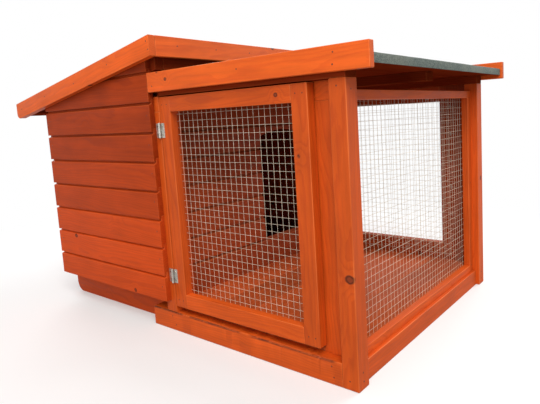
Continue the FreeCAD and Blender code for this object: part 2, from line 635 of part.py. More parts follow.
# ---------------------------------------------------------------- the door
def door():
    y0, y1 = 0.0, DOOR_THICKNESS
    hinge_stile = box(DOOR_LEFT, DOOR_LEFT + DOOR_STILE, y0, y1, DOOR_BOTTOM, DOOR_TOP)
    latch_stile = box(DOOR_RIGHT - DOOR_STILE, DOOR_RIGHT, y0, y1, DOOR_BOTTOM, DOOR_TOP)
    inner0, inner1 = DOOR_LEFT + DOOR_STILE, DOOR_RIGHT - DOOR_STILE
    bottom_top, top_bottom = DOOR_BOTTOM + DOOR_RAIL, DOOR_TOP - DOOR_RAIL
    bottom = box(inner0, inner1, y0, y1, DOOR_BOTTOM, bottom_top)
    top = box(inner0, inner1, y0, y1, top_bottom, DOOR_TOP)

    def place(u0, u1, v0, v1, w0, w1):
        return box(u0, u1, DOOR_THICKNESS - MESH_THICKNESS + w0, DOOR_THICKNESS - MESH_THICKNESS + w1, v0, v1)

    lap = DOOR_MESH_LAP
    rebate = box(
        inner0 - lap - LAP_CLEARANCE, inner1 + lap + LAP_CLEARANCE,
        DOOR_THICKNESS - MESH_THICKNESS, DOOR_THICKNESS + 1,
        bottom_top - lap - LAP_CLEARANCE, top_bottom + lap + LAP_CLEARANCE,
    )
    mesh = wire_mesh(inner0 - lap, inner1 + lap, bottom_top - lap, top_bottom + lap, place)
    return {
        "door_hinge_stile": [hinge_stile.cut(rebate)],
        "door_latch_stile": [latch_stile.cut(rebate)],
        "door_bottom_rail": [bottom.cut(rebate)],
        "door_top_rail": [top.cut(rebate)],
        "door_mesh": mesh,
    }


def catch():
    """A magnetic catch behind the latch strip's edge, and the steel strike on the door's back."""
    width, depth, height = CATCH_SIZE
    middle = (DOOR_BOTTOM + DOOR_TOP) / 2
    x1 = -TIMBER - LATCH_STRIP_WIDTH
    x0 = x1 - width
    strike_x1 = x1 - LAP_CLEARANCE
    strike_back = DOOR_THICKNESS + STRIKE_THICKNESS
    body = box(x0, x1, STOP_Y, STOP_Y + depth, middle - height / 2, middle + height / 2)
    strike = box(x0, strike_x1, DOOR_THICKNESS, strike_back, middle - height / 2, middle + height / 2)
    return {"door_catch": [body], "door_strike": [strike]}


# ---------------------------------------------------------------- the whole hutch
def hutch():
    nodes = {}
    frame = run_frame()
    obstacles = frame["divider_posts"] + frame["latch_strip"]
    for group in (base(), floors(obstacles), frame, end_panel(), back_panel(), run_roof()):
        nodes.update(group)
    for group in (house(), lid(), door(), catch()):
        nodes.update(group)

    nodes["hinge_pins"], nodes["fixed_leaf_screws"] = [], []

    def fit(hinges, prefix, fixed_wood, moving_wood):
        """Adds the hinges' pieces and drills the wood that their screws go into."""
        for name, key in ((fixed_wood, "fixed_holes"), (moving_wood, "moving_holes")):
            holes = [hole for h in hinges for hole in h[key]]
            nodes[name] = [drilled(piece, holes) for piece in nodes[name]]
        nodes[prefix + "_fixed_leaves"] = [h["fixed_leaf"] for h in hinges]
        nodes[prefix + "_moving_leaves"] = [h["moving_leaf"] for h in hinges]
        nodes[prefix + "_leaf_screws"] = [s for h in hinges for s in h["moving_screws"]]
        nodes["hinge_pins"] += [h["pin"] for h in hinges]
        nodes["fixed_leaf_screws"] += [s for h in hinges for s in h["fixed_screws"]]

    fit(door_hinges(), "door", "hinge_strip", "door_hinge_stile")
    fit(lid_hinges(), "lid", "high_wall_rail", "lid_boards")
    return nodes


def drilled(piece, holes):
    for hole in holes:
        if piece.BoundBox.intersect(hole.BoundBox):
            piece = piece.cut(hole)
    return piece


def export(nodes):
    os.makedirs("parts", exist_ok=True)
    middle_x = (LID_LOW_X + FASCIA_END_X) / 2
    to_centre = FreeCAD.Vector(-middle_x, -FRAME_DEPTH / 2, 0)
    for name, shapes in nodes.items():
        solids = solids_of(shapes)
        placed = [solid.translated(to_centre) for solid in solids]
        whole = placed[0] if len(placed) == 1 else Part.makeCompound(placed)
        whole.exportStep(os.path.join("parts", name + ".step"))
    axis_door = FreeCAD.Vector(DOOR_AXIS_X, -AXIS_OFF_WOOD, 0) + to_centre
    axis_lid = FreeCAD.Vector(LID_AXIS_X, FRAME_DEPTH / 2, LID_AXIS_Z) + to_centre
    print("door hinge axis through", tuple(round(v, 4) for v in axis_door))
    print("lid hinge axis through", tuple(round(v, 4) for v in axis_lid))
    print("moved by", tuple(round(v, 4) for v in to_centre), "nodes", len(nodes))


export(hutch())
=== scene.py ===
"""Looks of the rabbit hutch: stained timber, mineral felt, welded wire mesh and zinc hardware."""
import json
import math
import random

import bmesh
import bpy
from mathutils import Matrix, Vector, noise


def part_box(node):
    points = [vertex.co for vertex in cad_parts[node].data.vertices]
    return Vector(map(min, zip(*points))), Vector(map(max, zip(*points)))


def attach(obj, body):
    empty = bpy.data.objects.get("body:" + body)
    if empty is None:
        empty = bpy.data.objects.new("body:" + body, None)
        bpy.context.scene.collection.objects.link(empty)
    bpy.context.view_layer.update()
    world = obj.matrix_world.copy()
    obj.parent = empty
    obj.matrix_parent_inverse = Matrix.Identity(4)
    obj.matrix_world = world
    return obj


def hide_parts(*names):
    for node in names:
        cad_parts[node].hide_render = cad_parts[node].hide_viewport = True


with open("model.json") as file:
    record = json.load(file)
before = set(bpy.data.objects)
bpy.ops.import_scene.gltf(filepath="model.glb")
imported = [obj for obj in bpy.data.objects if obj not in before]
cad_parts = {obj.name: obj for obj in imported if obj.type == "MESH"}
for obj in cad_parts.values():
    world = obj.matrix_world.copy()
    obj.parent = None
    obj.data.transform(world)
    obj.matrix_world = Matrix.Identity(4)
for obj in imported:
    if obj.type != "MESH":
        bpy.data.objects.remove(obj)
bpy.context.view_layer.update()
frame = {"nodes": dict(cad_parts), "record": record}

BODIES = frame["record"]["behaviour"]["bodies"]
SLOT_OF = {entry["node"]: entry["material_slot"] for entry in frame["record"]["subparts"]}
BODY_OF = {node: body for body, nodes in BODIES.items() for node in nodes}
LID_PITCH = math.radians(9.5)
MM = 0.001
NAIL_ROOM = 0.25 * MM


# ---------------------------------------------------------------- colours and node helpers
def paint(red, green, blue):
    """A colour written as screen values 0-255, turned into the linear values that shaders take."""
    def linear(value):
        value /= 255
        return value / 12.92 if value <= 0.04045 else ((value + 0.055) / 1.055) ** 2.4

    return (linear(red), linear(green), linear(blue), 1.0)


class Bench:
    """Places nodes in one tree and wires them, so that a formula reads as a formula."""

    def __init__(self, tree):
        self.tree = tree

    def node(self, kind, **settings):
        made = self.tree.nodes.new(kind)
        for name, value in settings.items():
            setattr(made, name, value)
        return made

    def feed(self, socket, value):
        if isinstance(value, bpy.types.NodeSocket):
            self.tree.links.new(value, socket)
        else:
            socket.default_value = value

    def maths(self, operation, a, b=0.0, c=0.0, clamp=False):
        made = self.node("ShaderNodeMath", operation=operation, use_clamp=clamp)
        for socket, value in zip(made.inputs, (a, b, c)):
            self.feed(socket, value)
        return made.outputs[0]

    def vector(self, operation, a, b=(0, 0, 0), scale=None):
        made = self.node("ShaderNodeVectorMath", operation=operation)
        self.feed(made.inputs[0], a)
        self.feed(made.inputs[1], b)
        if scale is not None:
            self.feed(made.inputs["Scale"], scale)
        return made.outputs["Value" if operation in ("LENGTH", "DISTANCE") else "Vector"]

    def attribute(self, name):
        return self.node("ShaderNodeAttribute", attribute_name=name)

    def parts(self, vector):
        made = self.node("ShaderNodeSeparateXYZ")
        self.feed(made.inputs[0], vector)
        return made.outputs

    def noise(self, vector, scale=1.0, detail=2.0, roughness=0.5):
        made = self.node("ShaderNodeTexNoise")
        self.feed(made.inputs["Vector"], vector)
        self.feed(made.inputs["Scale"], scale)
        made.inputs["Detail"].default_value = detail
        made.inputs["Roughness"].default_value = roughness
        return made.outputs["Fac"]

    def ramp(self, value, low, high, to_low=0.0, to_high=1.0, smooth=True):
        made = self.node("ShaderNodeMapRange")
        made.interpolation_type = "SMOOTHSTEP" if smooth else "LINEAR"
        for socket, number in zip(made.inputs[:5], (value, low, high, to_low, to_high)):
            self.feed(socket, number)
        return made.outputs[0]

    def blend(self, factor, a, b, kind="MIX"):
        made = self.node("ShaderNodeMix", data_type="RGBA", blend_type=kind)
        self.feed(made.inputs["Factor"], factor)
        self.feed(made.inputs[6], a)
        self.feed(made.inputs[7], b)
        return made.outputs[2]

    def shade(self, colour, factor):
        """Multiplies a colour by a grey value."""
        made = self.node("ShaderNodeVectorMath", operation="SCALE")
        self.feed(made.inputs[0], colour)
        self.feed(made.inputs["Scale"], factor)
        return made.outputs[0]


def effect(name, takes, gives):
    """An empty shader node group; takes is [(name, kind, value)], gives is [(name, kind)]."""
    group = bpy.data.node_groups.new(name, "ShaderNodeTree")
    for label, kind, value in takes:
        made = group.interface.new_socket(label, in_out="INPUT", socket_type=kind)
        made.default_value = value
    for label, kind in gives:
        group.interface.new_socket(label, in_out="OUTPUT", socket_type=kind)
    bench = Bench(group)
    return group, bench, bench.node("NodeGroupInput").outputs, bench.node("NodeGroupOutput").inputs


COLOR, FLOAT, VECTOR = "NodeSocketColor", "NodeSocketFloat", "NodeSocketVector"


# ---------------------------------------------------------------- effects
def make_knots():
    """Knots: scattered ones from a cell pattern, and one placed by the attribute own_knot."""
    group, b, takes, gives = effect(
        "knots",
        [("Grain", VECTOR, (0, 0, 0)), ("Own knot", VECTOR, (999, 999, 999)), ("Size", FLOAT, 5.0)],
        [("Mask", FLOAT), ("Push", FLOAT), ("Rim", FLOAT)],
    )
    spread = (210.0, 74.0, 74.0)
    cells = b.node("ShaderNodeTexVoronoi", feature="F1", voronoi_dimensions="3D")
    places = b.vector("DIVIDE", takes["Grain"], spread)
    b.feed(cells.inputs["Vector"], places)
    cells.inputs["Scale"].default_value = 1.0
    cells.inputs["Randomness"].default_value = 0.95
    away = b.vector("MULTIPLY", b.vector("SUBTRACT", places, cells.outputs["Position"]), spread)
    scattered = b.vector("LENGTH", b.vector("MULTIPLY", away, (0.8, 1.0, 1.0)))
    own = b.vector("LENGTH", b.vector("MULTIPLY", takes["Own knot"], (0.85, 1.0, 1.0)))
    near = b.maths("MINIMUM", scattered, own)
    wobble = b.maths("MULTIPLY", b.noise(takes["Grain"], 0.21, 2.0), 2.2)
    near = b.maths("ADD", near, wobble)
    size = takes["Size"]
    mask = b.ramp(near, b.maths("ADD", size, 2.4), b.maths("ADD", size, 0.6))
    push = b.ramp(near, b.maths("ADD", size, 22.0), size, 0.0, 7.0)
    off_rim = b.maths("ABSOLUTE", b.maths("SUBTRACT", near, size))
    rim = b.ramp(off_rim, 1.6, 0.3)
    b.feed(gives["Mask"], mask)
    b.feed(gives["Push"], push)
    b.feed(gives["Rim"], rim)
    return group


def make_grain(knots):
    """Sawn softwood under a translucent stain: growth rings, fibres, streaks, knots and end grain, with arrises
    lighter as worn stain and painted highlight, torn fibres painted dark as shade, and a board tone that on the
    cladding also darkens the upper boards, partly as painted shade.
    """
    group, b, takes, gives = effect(
        "sawn_grain",
        [
            ("Stain", COLOR, (0.7, 0.12, 0.03, 1)),
            ("Late wood", COLOR, (0.35, 0.05, 0.012, 1)),
            ("Knot", COLOR, (0.11, 0.02, 0.008, 1)),
            ("Ring spacing", FLOAT, 5.0),
            ("Ring strength", FLOAT, 0.5),
            ("Streaks", FLOAT, 0.5),
            ("Board change", FLOAT, 0.3),
            ("Edge wear", FLOAT, 0.5),
        ],
        [("Color", COLOR), ("Roughness", FLOAT), ("Height", FLOAT)],
    )
    grain = b.attribute("grain").outputs["Vector"]
    own = b.attribute("own_knot").outputs["Vector"]
    board = b.attribute("board").outputs["Fac"]
    end = b.attribute("end_grain").outputs["Fac"]
    edge = b.attribute("arris").outputs["Fac"]
    torn = b.attribute("torn").outputs["Fac"]
    knot = b.node("ShaderNodeGroup", node_tree=knots)
    b.feed(knot.inputs["Grain"], grain)
    b.feed(knot.inputs["Own knot"], own)
    along, across, through = b.parts(grain)[:3]
    section = b.node("ShaderNodeCombineXYZ")
    b.feed(section.inputs[1], across)
    b.feed(section.inputs[2], through)
    radius = b.vector("LENGTH", section.outputs[0])
    wander = b.noise(b.vector("MULTIPLY", grain, (0.0045, 0.02, 0.02)), 1.0, 2.0)
    ripple = b.noise(b.vector("MULTIPLY", grain, (0.02, 0.16, 0.16)), 1.0, 2.0)
    radius = b.maths("ADD", radius, b.maths("MULTIPLY", wander, 26.0))
    radius = b.maths("ADD", radius, b.maths("MULTIPLY", ripple, 2.4))
    radius = b.maths("ADD", radius, knot.outputs["Push"])
    year = b.maths("FRACT", b.maths("DIVIDE", radius, takes["Ring spacing"]))
    late = b.maths("MULTIPLY", b.ramp(year, 0.35, 0.9), b.ramp(year, 1.0, 0.93))
    fibre = b.noise(b.vector("MULTIPLY", grain, (0.035, 1.3, 1.3)), 1.0, 4.0, 0.6)
    streak = b.noise(b.vector("MULTIPLY", grain, (0.006, 0.11, 0.11)), 1.0, 3.0)
    blotch = b.noise(b.vector("MULTIPLY", grain, (0.012, 0.02, 0.02)), 1.0, 3.0)
    colour = b.blend(b.maths("MULTIPLY", late, takes["Ring strength"]), takes["Stain"], takes["Late wood"])
    value = b.maths("MULTIPLY_ADD", b.maths("SUBTRACT", streak, 0.5), takes["Streaks"], 1.0)
    value = b.maths("ADD", value, b.maths("MULTIPLY", b.maths("SUBTRACT", fibre, 0.5), 0.3))
    value = b.maths("ADD", value, b.maths("MULTIPLY", b.maths("SUBTRACT", blotch, 0.5), 0.42))
    # Per-board tone; on the cladding it also carries painted shade that darkens the upper boards.
    board_tone_and_shade = b.maths("MULTIPLY", b.maths("SUBTRACT", board, 0.5), takes["Board change"])
    value = b.maths("ADD", value, board_tone_and_shade)
    colour = b.shade(colour, b.maths("MAXIMUM", value, 0.2))
    heartwood = b.blend(knot.outputs["Rim"], b.shade(takes["Knot"], 2.4), b.shade(takes["Knot"], 0.5))
    colour = b.blend(b.maths("MULTIPLY", knot.outputs["Mask"], 0.85), colour, heartwood)
    # Arrises painted lighter: partly worn stain, partly a painted highlight on the eased edges.
    worn = b.maths("MULTIPLY", edge, b.ramp(streak, 0.35, 0.7, 0.25, 1.0))
    worn = b.maths("MULTIPLY", worn, takes["Edge wear"])
    wear_and_highlight_colour = b.blend(0.55, takes["Stain"], paint(246, 158, 92))
    colour = b.blend(worn, colour, wear_and_highlight_colour)
    soaked = b.shade(colour, 0.5)
    colour = b.blend(end, colour, soaked)
    # The torn arris is painted dark along its splintered fibres: painted shade in the torn groove.
    torn_groove_shade = b.maths("MULTIPLY", torn, b.ramp(b.maths("ADD", fibre, streak), 0.7, 1.15))
    colour = b.blend(b.maths("MULTIPLY", torn_groove_shade, 0.9, clamp=True), colour, takes["Knot"])
    rough = b.maths("ADD", b.maths("MULTIPLY_ADD", fibre, 0.2, 0.44), b.maths("MULTIPLY", late, -0.05))
    rough = b.maths("ADD", rough, b.maths("MULTIPLY", end, 0.2))
    height = b.maths("MULTIPLY_ADD", late, 0.1, b.maths("MULTIPLY", fibre, 0.26))
    height = b.maths("ADD", height, b.maths("MULTIPLY", knot.outputs["Mask"], 0.12))
    b.feed(gives["Color"], colour)
    b.feed(gives["Roughness"], rough)
    b.feed(gives["Height"], height)
    return group


def make_galvanised():
    """Zinc coat: mottled grey with small spangles, duller patches and fine scratches."""
    group, b, takes, gives = effect(
        "galvanised_coat",
        [("Bright", COLOR, (0.6, 0.6, 0.6, 1)), ("Dull", COLOR, (0.3, 0.3, 0.3, 1)), ("Scale", FLOAT, 400.0)],
        [("Color", COLOR), ("Roughness", FLOAT), ("Height", FLOAT)],
    )
    where = b.node("ShaderNodeTexCoord").outputs["Object"]
    patch = b.noise(where, takes["Scale"], 4.0, 0.6)
    broad = b.noise(where, b.maths("MULTIPLY", takes["Scale"], 0.12), 2.0)
    dull = b.ramp(b.maths("ADD", patch, b.maths("MULTIPLY", broad, 0.6)), 0.6, 1.05)
    b.feed(gives["Color"], b.blend(dull, takes["Bright"], takes["Dull"]))
    b.feed(gives["Roughness"], b.maths("MULTIPLY_ADD", dull, 0.25, 0.28))
    b.feed(gives["Height"], patch)
    return group


def material(name, group, values, bump, bump_distance=MM, metallic=0.0, specular=0.5):
    """A material whose colour, roughness and bump come from one effect group."""
    made = bpy.data.materials.new(name)
    made.use_nodes = True
    b = Bench(made.node_tree)
    shader = made.node_tree.nodes["Principled BSDF"]
    source = b.node("ShaderNodeGroup", node_tree=group)
    for label, value in values.items():
        source.inputs[label].default_value = value
    b.feed(shader.inputs["Base Color"], source.outputs["Color"])
    b.feed(shader.inputs["Roughness"], source.outputs["Roughness"])
    relief = b.node("ShaderNodeBump")
    relief.inputs["Strength"].default_value = bump
    relief.inputs["Distance"].default_value = bump_distance
    b.feed(relief.inputs["Height"], source.outputs["Height"])
    b.feed(shader.inputs["Normal"], relief.outputs["Normal"])
    shader.inputs["Metallic"].default_value = metallic
    shader.inputs["Specular IOR Level"].default_value = specular
    return made


GRAIN = make_grain(make_knots())
GALVANISED = make_galvanised()


def stained(name, stain, late, knot=(74, 28, 12), spacing=4.5, rings=0.32, streaks=0.42, boards=0.3, edge_wear_and_highlight=0.4,
            specular=0.22):
    values = {
        "Stain": paint(*stain), "Late wood": paint(*late), "Knot": paint(*knot), "Ring spacing": spacing,
        "Ring strength": rings, "Streaks": streaks, "Board change": boards, "Edge wear": edge_wear_and_highlight,
    }
    return material(name, GRAIN, values, 0.4, specular=specular)


# The trim stain is lighter than the frame stain, partly as painted light on the fascias and barge boards that face
# the light from above.
TRIM_STAIN_AND_LIGHT = stained("orange_trim_stain_and_painted_light", (218, 92, 26), (192, 68, 18), spacing=4.6, boards=0.2)
FRAME_STAIN = stained("orange_stained_frame", (208, 84, 20), (174, 57, 13), spacing=4.0, boards=0.24)
# The cladding stain is darker than the frame stain, partly as painted shade under the roof, and its wide board
# change spreads the painted shade that darkens the upper boards.
CLADDING_STAIN_AND_SHADE = stained(
    "red_orange_cladding_and_painted_shade", (180, 65, 18), (148, 46, 12), spacing=4.4, boards=1.1, edge_wear_and_highlight=0.3, specular=0.1
)
# The inner rails and divider boards take a darker stain than the outside: painted shade inside the run.
INSIDE_STAIN_AND_SHADE = stained("inside_boards_painted_shade", (160, 66, 30), (126, 45, 20), boards=0.34, edge_wear_and_highlight=0.3, specular=0.12)
RUN_FLOOR_STAIN = stained("run_floor_boards", (188, 84, 38), (146, 54, 24), boards=0.4, edge_wear_and_highlight=0.3, specular=0.14)
# Timber inside the house and under the roofs is a much darker copy of the stain: painted shade.
HOUSE_INSIDE_SHADE = stained("inner_timber_painted_shade", (128, 46, 19), (94, 30, 12), edge_wear_and_highlight=0.15, specular=0.0)


def make_felt():
    """Green-grey mineral felt: crushed slate chips on bitumen, with worn and dusty patches."""
    made = bpy.data.materials.new("mineral_roofing_felt")
    made.use_nodes = True
    b = Bench(made.node_tree)
    shader = made.node_tree.nodes["Principled BSDF"]
    where = b.node("ShaderNodeTexCoord").outputs["Object"]
    chips = b.node("ShaderNodeTexVoronoi", feature="F1")
    b.feed(chips.inputs["Vector"], where)
    chips.inputs["Scale"].default_value = 620.0
    shade = b.parts(chips.outputs["Color"])[0]
    colour = b.blend(b.ramp(shade, 0.1, 0.9), paint(58, 70, 66), paint(98, 108, 101))
    pale = b.ramp(b.noise(where, 900.0, 1.0), 0.66, 0.72)
    colour = b.blend(b.maths("MULTIPLY", pale, 0.6), colour, paint(150, 156, 148))
    bare = b.ramp(b.noise(where, 34.0, 5.0, 0.65), 0.58, 0.74)
    colour = b.blend(b.maths("MULTIPLY", bare, 0.55), colour, paint(50, 55, 54))
    dust = b.ramp(b.noise(where, 9.0, 4.0, 0.6), 0.42, 0.72)
    colour = b.blend(b.maths("MULTIPLY", dust, 0.42), colour, paint(126, 124, 110))
    b.feed(shader.inputs["Base Color"], colour)
    b.feed(shader.inputs["Roughness"], b.maths("MULTIPLY_ADD", shade, 0.12, 0.84))
    relief = b.node("ShaderNodeBump")
    relief.inputs["Strength"].default_value = 0.8
    relief.inputs["Distance"].default_value = 0.6 * MM
    grit = b.maths("SUBTRACT", 1.0, chips.outputs["Distance"])
    b.feed(relief.inputs["Height"], b.maths("MULTIPLY_ADD", b.noise(where, 60.0, 3.0), 1.5, grit))
    b.feed(shader.inputs["Normal"], relief.outputs["Normal"])
    return made


FELT = make_felt()
MESH_WIRE_ZINC = material(
    "galvanised_mesh_wire", GALVANISED,
    {"Bright": paint(228, 214, 192), "Dull": paint(184, 170, 148), "Scale": 300.0}, 0.15, metallic=0.12,
)
HINGE_ZINC = material(
    "zinc_plated_hinge", GALVANISED,
    {"Bright": paint(216, 212, 204), "Dull": paint(160, 156, 148), "Scale": 260.0}, 0.12, metallic=0.8,
)
SCREW_ZINC = material(
    "zinc_plated_screw", GALVANISED,
    {"Bright": paint(204, 198, 184), "Dull": paint(138, 132, 120), "Scale": 500.0}, 0.1, metallic=0.85,
)
NAIL_STEEL = material(
    "stained_over_nail_heads", GALVANISED,
    {"Bright": paint(104, 46, 26), "Dull": paint(54, 28, 20), "Scale": 900.0}, 0.2, metallic=0.3,
)
CLOUT_STEEL = material(
    "clout_nail_heads", GALVANISED,
    {"Bright": paint(128, 132, 130), "Dull": paint(84, 88, 86), "Scale": 420.0}, 0.2, metallic=0.7,
)
# Near-black screw slots: painted shade standing in for the hollow of each cross slot.
SLOT_SHADE_PAINT = material(
    "screw_slot_painted_shade", GALVANISED,
    {"Bright": paint(52, 50, 48), "Dull": paint(26, 25, 24), "Scale": 800.0}, 0.1, metallic=0.4,
)
CATCH_BROWN = material(
    "brown_catch_case", GALVANISED,
    {"Bright": paint(96, 56, 36), "Dull": paint(74, 42, 28), "Scale": 1500.0}, 0.25,
)


# ---------------------------------------------------------------- timber
TRIM_NODES = {
    "run_front_fascia", "run_back_fascia", "lid_front_barge_board", "lid_back_barge_board",
    "lid_high_fascia",
}
CLADDING_NODES = {"front_cladding", "back_cladding", "end_cladding", "runners"}
INSIDE_NODES = {"back_bottom_rail", "back_top_rail", "back_left_stile", "back_right_stile",
                "divider_boards"}
HIDDEN_INSIDE_NODES = {"house_floor", "house_posts", "house_sills", "gable_rails", "low_wall_rail",
                       "high_wall_rail", "lid_boards", "lid_battens", "lid_eave_batten", "floor_bearers",
                       "roof_ledger", "run_roof_boards", "run_roof_battens"}
SLOPED_NODES = {"lid_front_barge_board", "lid_back_barge_board", "lid_high_fascia", "lid_boards",
                "lid_battens", "lid_eave_batten", "gable_rails"}


def finish_of(node):
    if node in TRIM_NODES:
        return TRIM_STAIN_AND_LIGHT
    if node in CLADDING_NODES:
        return CLADDING_STAIN_AND_SHADE
    if node == "run_floor":
        return RUN_FLOOR_STAIN
    if node in INSIDE_NODES:
        return INSIDE_STAIN_AND_SHADE
    if node in HIDDEN_INSIDE_NODES:
        return HOUSE_INSIDE_SHADE
    return FRAME_STAIN


def islands(bm):
    """The separate boards of a mesh, each as a list of its vertices."""
    seen = set()
    for start in bm.verts:
        if start in seen:
            continue
        stack, found = [start], []
        seen.add(start)
        while stack:
            vert = stack.pop()
            found.append(vert)
            for edge in vert.link_edges:
                other = edge.other_vert(vert)
                if other not in seen:
                    seen.add(other)
                    stack.append(other)
        yield found


def eased_edges(bm, amount):
    """Rounds every arris of each board a little, as a plane or sander leaves it."""
    arris = bm.faces.layers.float.new("arris")
    for board in list(islands(bm)):
        edges = {e for v in board for e in v.link_edges}
        sharp = [
            e for e in edges
            if len(e.link_faces) == 2 and e.calc_length() > 1.5 * MM and e.calc_face_angle(0.0) > math.radians(30)
        ]
        made = bmesh.ops.bevel(
            bm, geom=sharp, offset=amount, segments=2, profile=0.5, affect="EDGES", clamp_overlap=True
        )
        for face in made["faces"]:
            face[arris] = 1.0
    bmesh.ops.dissolve_degenerate(bm, dist=0.01 * MM, edges=bm.edges)


def grain_marks(bm, chooser, tilt, own_knot=None, painted_shade_span=None):
    """Gives each board its own grain coordinates, in millimetres from the tree's heart."""
    grain = bm.verts.layers.float_vector.new("grain")
    knot = bm.verts.layers.float_vector.new("own_knot")
    board_tone_and_shade = bm.verts.layers.float.new("board")
    end = bm.faces.layers.float.new("end_grain")
    turn = Matrix.Rotation(tilt, 3, "Y")
    for board in islands(bm):
        places = [turn @ v.co for v in board]
        low = Vector([min(p[i] for p in places) for i in range(3)])
        high = Vector([max(p[i] for p in places) for i in range(3)])
        size, middle = high - low, (high + low) / 2
        order = sorted(range(3), key=lambda i: -size[i])
        width, thick = size[order[1]] / MM, size[order[2]] / MM
        side = chooser.choice((-1, 1))
        heart = (
            chooser.uniform(-0.7, 0.7) * width,
            side * (thick / 2 + chooser.uniform(4, 46)),
        )
        lean = (chooser.uniform(-0.05, 0.05), chooser.uniform(-0.03, 0.03))
        start = chooser.uniform(0, 9000)
        value = chooser.random()
        # On the cladding the board tone runs darker towards the top: partly a stain change, partly painted shade
        # under the eaves and barge boards.
        if painted_shade_span:
            value = value * 0.25 + 0.75 * (painted_shade_span[1] - middle[2]) / (painted_shade_span[1] - painted_shade_span[0])
        for vert, place in zip(board, places):
            local = [(place[i] - middle[i]) / MM for i in order]
            vert[grain] = Vector((
                local[0] + start,
                local[1] - heart[0] + lean[0] * local[0],
                local[2] - heart[1] + lean[1] * local[0],
            ))
            vert[knot] = (vert.co - own_knot[0]) / MM * own_knot[1] if own_knot else Vector((999, 999, 999))
            vert[board_tone_and_shade] = value
        lengthwise = turn.inverted() @ Vector([1.0 if i == order[0] else 0.0 for i in range(3)])
        for face in {f for v in board for f in v.link_faces}:
            if abs(face.normal.dot(lengthwise)) > 0.8:
                face[end] = 0.4


def show(name, bm, surface, body, slot):
    """Turns a bmesh into a piece of the hutch that rides on its body."""
    mesh = bpy.data.meshes.new(name)
    bm.normal_update()
    bm.to_mesh(mesh)
    bm.free()
    for face in mesh.polygons:
        face.use_smooth = True
    mesh.set_sharp_from_angle(angle=math.radians(24))
    piece = bpy.data.objects.new(name, mesh)
    bpy.context.scene.collection.objects.link(piece)
    mesh.materials.append(surface)
    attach(piece, body)
    return piece


def cad_copy(node):
    bm = bmesh.new()
    bm.from_mesh(frame["nodes"][node].data)
    bmesh.ops.remove_doubles(bm, verts=bm.verts, dist=0.004 * MM)
    bmesh.ops.dissolve_limit(
        bm, angle_limit=math.radians(0.8), use_dissolve_boundaries=False, verts=bm.verts, edges=bm.edges
    )
    return bm


def torn_top(bm, low, high, chooser):
    """Splintered upper front arris of the base rail, torn out along the grain under the plane."""
    for plane, square_to in ((Vector((0, 0, high.z - 5 * MM)), (0, 0, 1)), (Vector((0, low.y + 3.4 * MM, 0)), (0, 1, 0))):
        bmesh.ops.bisect_plane(bm, geom=bm.verts[:] + bm.edges[:] + bm.faces[:], plane_co=plane, plane_no=square_to)
    cuts = [e for e in bm.edges if e.calc_length() > 0.2]
    bmesh.ops.subdivide_edges(bm, edges=cuts, cuts=220, use_grid_fill=True)
    torn = bm.verts.layers.float.new("torn")
    for vert in bm.verts:
        if vert.co.z > high.z - 3 * MM and vert.co.y < low.y + 3 * MM:
            deep = max(0.0, noise.noise(Vector((vert.co.x * 24, 3.1, 0))) + 0.36) * 4.2 * MM
            deep += max(0.0, noise.noise(Vector((vert.co.x * 210, 8.4, 0)))) * 2.4 * MM
            vert.co.z -= deep * 0.85
            vert.co.y += deep * 0.5
            vert[torn] = min(1.0, deep / (1.3 * MM))


def timber(node, chooser):
    bm = cad_copy(node)
    eased_edges(bm, (0.5 if node in CLADDING_NODES else 1.2) * MM)
    low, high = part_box(node)
    own_knot = None
    if node == "front_corner_post":
        own_knot = (Vector((low.x + 22 * MM, low.y, low.z + 178 * MM)), 0.72)
    if node == "door_top_rail":
        own_knot = (Vector((low.x + 268 * MM, low.y, low.z + 14 * MM)), 1.5)
    if node == "run_front_fascia":
        own_knot = (Vector((low.x + 57 * MM, low.y, low.z + 21 * MM)), 1.6)
    if node == "front_cladding":
        own_knot = (Vector((-0.0855, low.y, low.z + 6 * MM)), 1.3)
    if node in ("lid_front_barge_board", "lid_back_barge_board"):
        for vert in bm.verts:
            reach = max(abs(low.y), abs(high.y)) - NAIL_ROOM
            vert.co.y = min(max(vert.co.y, -reach), reach)
    if node == "front_base_rail":
        torn_top(bm, low, high, chooser)
    # The cladding boards get darker towards the top, partly as painted shade under the eaves.
    painted_shade_span = (low.z, high.z) if node.endswith("_cladding") else None
    grain_marks(bm, chooser, LID_PITCH if node in SLOPED_NODES else 0.0, own_knot, painted_shade_span)
    slot = SLOT_OF[node]
    piece = show("stained_" + node, bm, finish_of(node), BODY_OF[node], slot)
    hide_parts(node)
    return piece


for count, node in enumerate(sorted(BODY_OF)):
    if SLOT_OF[node] in ("stained_timber", "stained_boards"):
        timber(node, random.Random(400 + count))


def packing_block():
    """The short block that fills the corner above the hinge strip, next to the door's head."""
    low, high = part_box("hinge_strip")
    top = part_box("front_top_rail")[1].z
    bm = bmesh.new()
    bmesh.ops.create_cube(bm, size=1.0)
    size = Vector((high.x - low.x - 0.6 * MM, high.y - low.y - 1.2 * MM, top - high.z - 0.4 * MM))
    middle = Vector(((low.x + high.x) / 2, (low.y + high.y) / 2, (top + high.z) / 2))
    for vert in bm.verts:
        vert.co = Vector([vert.co[i] * size[i] + middle[i] for i in range(3)])
    eased_edges(bm, 1.2 * MM)
    grain_marks(bm, random.Random(390), 0.0)
    show("packing_block", bm, FRAME_STAIN, "hutch", "stained_timber")


packing_block()


# ---------------------------------------------------------------- welded wire mesh
PITCH = 13 * MM
WIRE = 0.29 * MM


